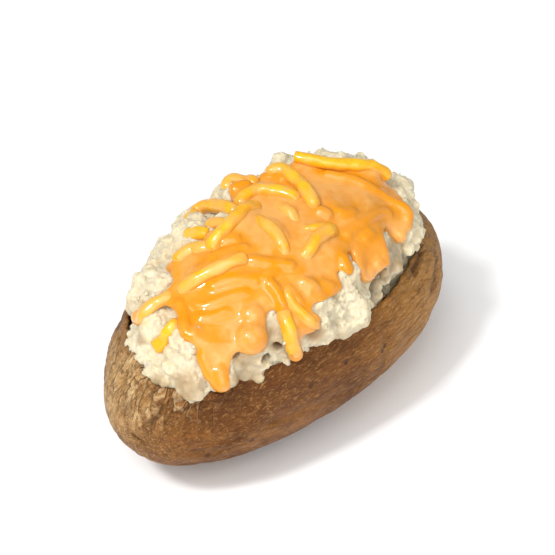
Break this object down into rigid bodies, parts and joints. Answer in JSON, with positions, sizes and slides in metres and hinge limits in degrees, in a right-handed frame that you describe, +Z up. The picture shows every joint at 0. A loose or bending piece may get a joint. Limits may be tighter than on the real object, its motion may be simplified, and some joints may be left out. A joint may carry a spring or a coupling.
{
  "type": "baked potato",
  "caption": "Baked potato split open along the top, its fluffed flesh heaped over the skin, under poured cheese sauce and cheese shreds.",
  "frame": {"origin": "centre of the box's underside, on the surface the potato rests on", "axes": "+X along the potato, towards its pointed end; +Z up; -Y to the side where the sauce drips lowest"},
  "size_m": [0.135, 0.0772, 0.0765],
  "materials": {
    "skin": "baked, dry and wrinkled",
    "flesh": "fluffy and moist",
    "sauce": "wet gloss",
    "shreds": "melted gloss"
  },
  "bodies": {
    "root": {"potato_jacket": "skin", "potato_flesh": "flesh", "cheese_sauce": "sauce", "cheese_shred_01": "shreds", "cheese_shred_02": "shreds", "cheese_shred_03": "shreds", "cheese_shred_04": "shreds", "cheese_shred_05": "shreds", "cheese_shred_06": "shreds", "cheese_shred_07": "shreds", "cheese_shred_08": "shreds", "cheese_shred_09": "shreds", "cheese_shred_10": "shreds", "cheese_shred_11": "shreds", "cheese_shred_12": "shreds", "cheese_shred_13": "shreds", "cheese_shred_14": "shreds", "cheese_shred_15": "shreds", "cheese_shred_16": "shreds", "cheese_shred_17": "shreds", "cheese_shred_18": "shreds"}
  },
  "joints": []
}
